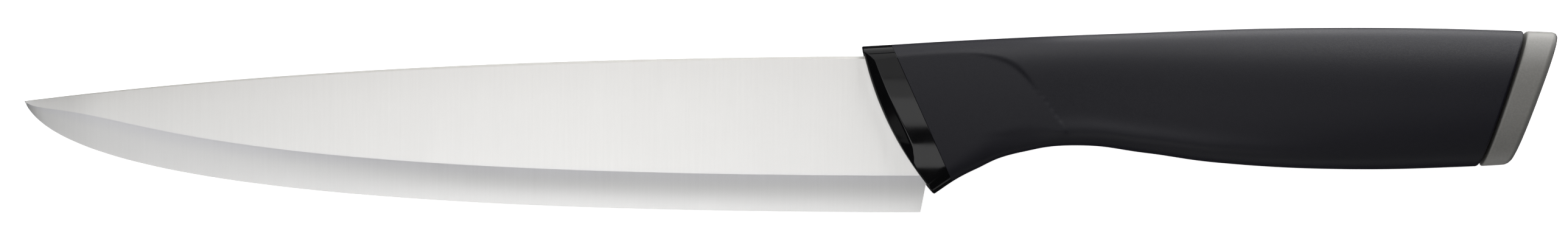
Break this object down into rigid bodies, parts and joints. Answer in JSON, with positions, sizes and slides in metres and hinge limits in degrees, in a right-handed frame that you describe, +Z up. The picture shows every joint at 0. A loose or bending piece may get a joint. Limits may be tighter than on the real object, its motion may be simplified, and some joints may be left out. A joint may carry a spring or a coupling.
{
  "type": "slicing knife",
  "caption": "Long slicing knife: satin stamped blade with hollow-ground bevels, gloss black collar, soft black grip with thumb facets and a grey cap on the slanted butt.",
  "frame": {"origin": "under the middle of the knife, on the surface that it lies on", "axes": "+X from the tip to the butt, +Y from the cutting edge to the spine, +Z up through the thickness of the knife lying on its side"},
  "size_m": [0.3416, 0.041, 0.022],
  "materials": {
    "steel": "satin stainless steel, finely ground",
    "gloss_black": "polished black hard plastic",
    "hard_black": "plain black moulded plastic, hidden under the grip",
    "soft_black": "matt black soft-touch elastomer",
    "satin_grey": "satin warm grey plastic"
  },
  "bodies": {
    "root": {"blade": "steel", "bolster_collar": "gloss_black", "handle_core": "hard_black", "soft_grip": "soft_black", "end_cap": "satin_grey"}
  },
  "joints": []
}
